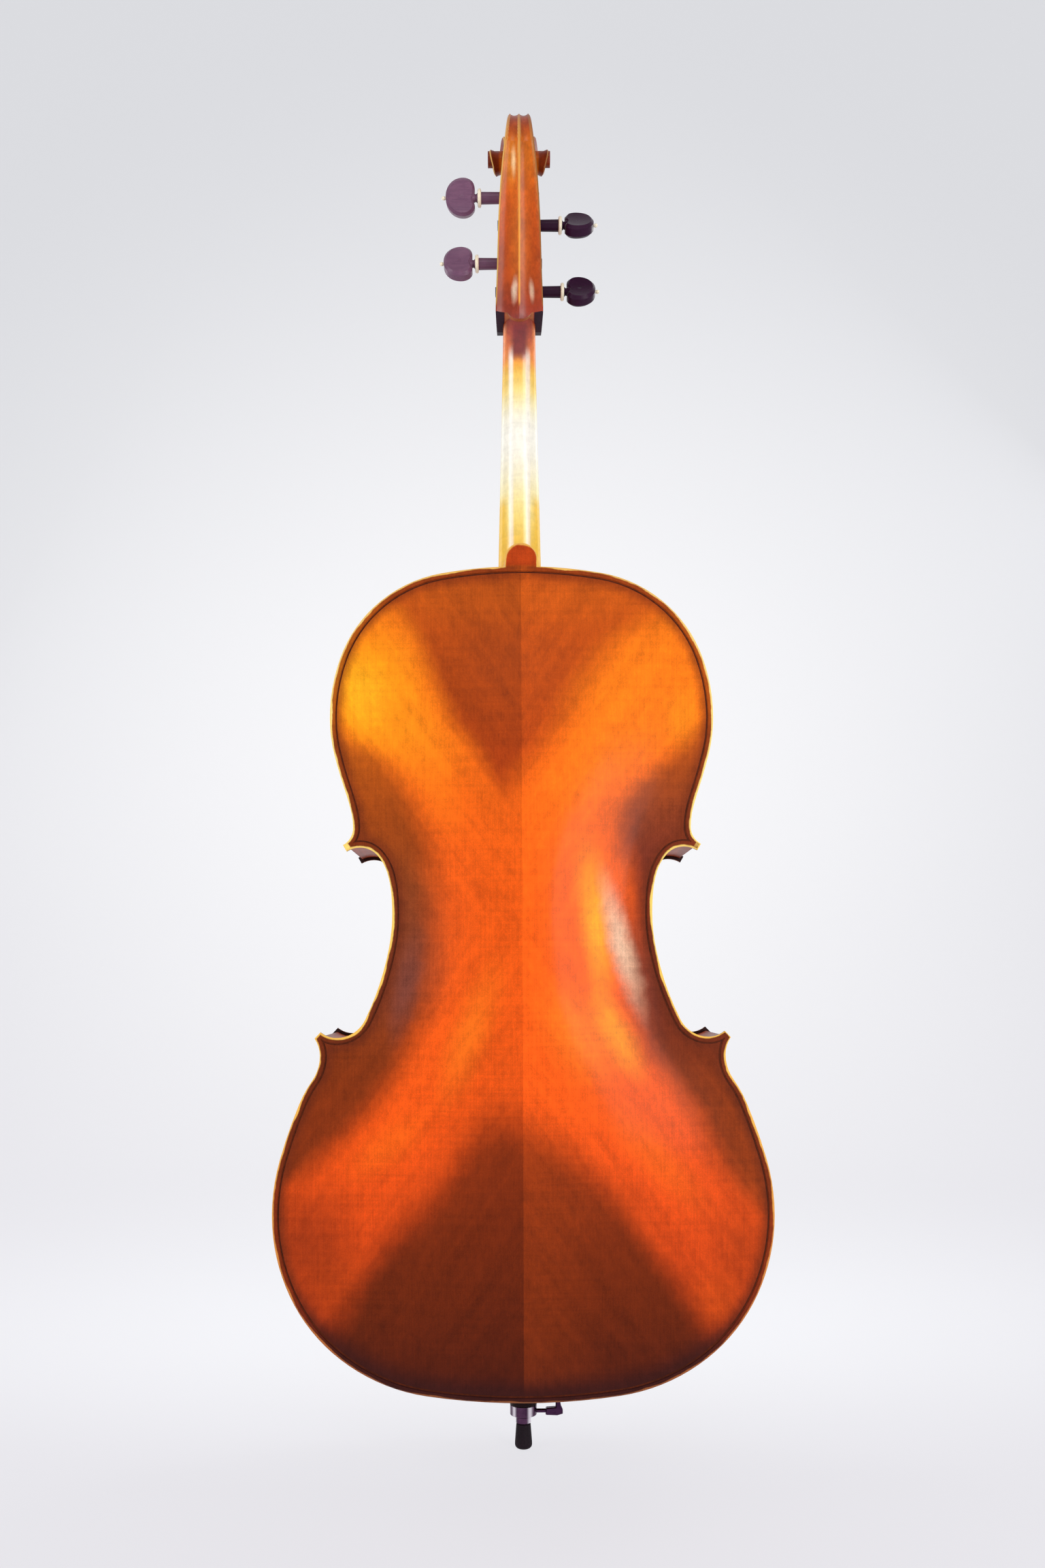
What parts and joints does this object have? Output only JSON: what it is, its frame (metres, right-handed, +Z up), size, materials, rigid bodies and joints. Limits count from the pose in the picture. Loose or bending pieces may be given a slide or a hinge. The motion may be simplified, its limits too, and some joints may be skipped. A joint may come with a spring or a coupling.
{
  "type": "cello",
  "caption": "Full-size cello with arched back and front on ribs, carved neck and scroll, turning pegs, fine tuners and an endpin that slides out and is clamped.",
  "frame": {"origin": "centre of the flat bottom of the rubber endpin tip, on the endpin's axis", "axes": "+Z up the instrument towards the scroll, -Y towards the strings and the front, +Y towards the back, +X towards the treble (A string) side"},
  "size_m": [0.4536, 0.2602, 1.2532],
  "materials": {
    "back_maple": "flamed maple under clear orange-brown varnish",
    "front_spruce": "spruce under clear orange-brown varnish",
    "purfling_wood": "black, white and black wood strips",
    "rib_maple": "flamed maple under clear orange-brown varnish",
    "inner_spruce": "bare wood",
    "neck_maple": "maple under thin golden varnish",
    "ebony": "polished black wood",
    "bridge_maple": "bare maple",
    "tailpiece_black": "satin black",
    "tailgut_nylon": "black",
    "bone_white": "polished cream white",
    "tuner_metal": "black",
    "ball_brass": "polished",
    "string_steel": "wound steel",
    "ferrule_metal": "dark glossy metal",
    "rod_steel": "brushed",
    "tip_rubber": "matt black"
  },
  "bodies": {
    "cello": {"back_treble_half": "back_maple", "back_bass_half": "back_maple", "front_treble_half": "front_spruce", "front_bass_half": "front_spruce", "purfling_back": "purfling_wood", "purfling_front": "purfling_wood", "rib_lower_treble": "rib_maple", "rib_lower_bass": "rib_maple", "rib_waist_treble": "rib_maple", "rib_waist_bass": "rib_maple", "rib_upper_treble": "rib_maple", "rib_upper_bass": "rib_maple", "top_block": "inner_spruce", "bottom_block": "inner_spruce", "corner_blocks": "inner_spruce", "linings_back": "inner_spruce", "linings_front": "inner_spruce", "bass_bar": "inner_spruce", "sound_post": "inner_spruce", "neck_scroll": "neck_maple", "fingerboard": "ebony", "nut": "ebony", "saddle": "ebony", "bridge": "bridge_maple", "tailpiece": "tailpiece_black", "tailgut": "tailgut_nylon", "tuner_pin": "tuner_metal", "string_a": "string_steel", "string_d": "string_steel", "string_g": "string_steel", "string_c": "string_steel", "endpin_plug": "ebony", "endpin_ferrule": "ferrule_metal"},
    "peg_c": {"peg_c": "ebony", "peg_trim_c": "bone_white", "string_coil_c": "string_steel"},
    "peg_a": {"peg_a": "ebony", "peg_trim_a": "bone_white", "string_coil_a": "string_steel"},
    "peg_g": {"peg_g": "ebony", "peg_trim_g": "bone_white", "string_coil_g": "string_steel"},
    "peg_d": {"peg_d": "ebony", "peg_trim_d": "bone_white", "string_coil_d": "string_steel"},
    "tuner_lever_a": {"tuner_lever_a": "tuner_metal", "string_ball_a": "ball_brass"},
    "tuner_screw_a": {"tuner_screw_a": "tuner_metal"},
    "tuner_lever_d": {"tuner_lever_d": "tuner_metal", "string_ball_d": "ball_brass"},
    "tuner_screw_d": {"tuner_screw_d": "tuner_metal"},
    "tuner_lever_g": {"tuner_lever_g": "tuner_metal", "string_ball_g": "ball_brass"},
    "tuner_screw_g": {"tuner_screw_g": "tuner_metal"},
    "tuner_lever_c": {"tuner_lever_c": "tuner_metal", "string_ball_c": "ball_brass"},
    "tuner_screw_c": {"tuner_screw_c": "tuner_metal"},
    "endpin_rod": {"endpin_rod": "rod_steel", "endpin_tip": "tip_rubber"},
    "endpin_screw": {"endpin_screw": "ferrule_metal"}
  },
  "joints": [
    {"name": "peg_c_turn", "type": "hinge", "parent": "cello", "child": "peg_c", "pos_m": [0, -0.01822, 1.10595], "axis": [-1, 0, 0], "continuous": true},
    {"name": "peg_a_turn", "type": "hinge", "parent": "cello", "child": "peg_a", "pos_m": [0, -0.01057, 1.12903], "axis": [1, 0, 0], "continuous": true},
    {"name": "peg_g_turn", "type": "hinge", "parent": "cello", "child": "peg_g", "pos_m": [0, -0.00075, 1.15986], "axis": [-1, 0, 0], "continuous": true},
    {"name": "peg_d_turn", "type": "hinge", "parent": "cello", "child": "peg_d", "pos_m": [0, 0.00745, 1.18134], "axis": [1, 0, 0], "continuous": true},
    {"name": "tuner_screw_a_turn", "type": "hinge", "parent": "cello", "child": "tuner_screw_a", "pos_m": [0.018, -0.13997, 0.28389], "axis": [0, 0.9508, 0.31], "range_deg": [0, 700]},
    {"name": "tuner_lever_a_tilt", "type": "hinge", "parent": "cello", "child": "tuner_lever_a", "pos_m": [0.018, -0.13197, 0.29807], "axis": [1, 0, 0], "range_deg": [0, 5]},
    {"name": "tuner_screw_d_turn", "type": "hinge", "parent": "cello", "child": "tuner_screw_d", "pos_m": [0.006, -0.13997, 0.28389], "axis": [0, 0.9508, 0.31], "range_deg": [0, 700]},
    {"name": "tuner_lever_d_tilt", "type": "hinge", "parent": "cello", "child": "tuner_lever_d", "pos_m": [0.006, -0.13197, 0.29807], "axis": [1, 0, 0], "range_deg": [0, 5]},
    {"name": "tuner_screw_g_turn", "type": "hinge", "parent": "cello", "child": "tuner_screw_g", "pos_m": [-0.006, -0.13997, 0.28389], "axis": [0, 0.9508, 0.31], "range_deg": [0, 700]},
    {"name": "tuner_lever_g_tilt", "type": "hinge", "parent": "cello", "child": "tuner_lever_g", "pos_m": [-0.006, -0.13197, 0.29807], "axis": [1, 0, 0], "range_deg": [0, 5]},
    {"name": "tuner_screw_c_turn", "type": "hinge", "parent": "cello", "child": "tuner_screw_c", "pos_m": [-0.018, -0.13997, 0.28389], "axis": [0, 0.9508, 0.31], "range_deg": [0, 700]},
    {"name": "tuner_lever_c_tilt", "type": "hinge", "parent": "cello", "child": "tuner_lever_c", "pos_m": [-0.018, -0.13197, 0.29807], "axis": [1, 0, 0], "range_deg": [0, 5]},
    {"name": "endpin_slide", "type": "slide", "parent": "cello", "child": "endpin_rod", "axis": [0, 0, -1], "range_m": [0, 0.35]},
    {"name": "endpin_screw_turn", "type": "hinge", "parent": "cello", "child": "endpin_screw", "pos_m": [-0.0127, 0, 0.0355], "axis": [-1, 0, 0], "range_deg": [0, 720]}
  ],
  "couplings": [
    {"joint": "tuner_lever_a_tilt", "follows": "tuner_screw_a_turn", "ratio": 0.0071429},
    {"joint": "tuner_lever_d_tilt", "follows": "tuner_screw_d_turn", "ratio": 0.0071429},
    {"joint": "tuner_lever_g_tilt", "follows": "tuner_screw_g_turn", "ratio": 0.0071429},
    {"joint": "tuner_lever_c_tilt", "follows": "tuner_screw_c_turn", "ratio": 0.0071429}
  ]
}
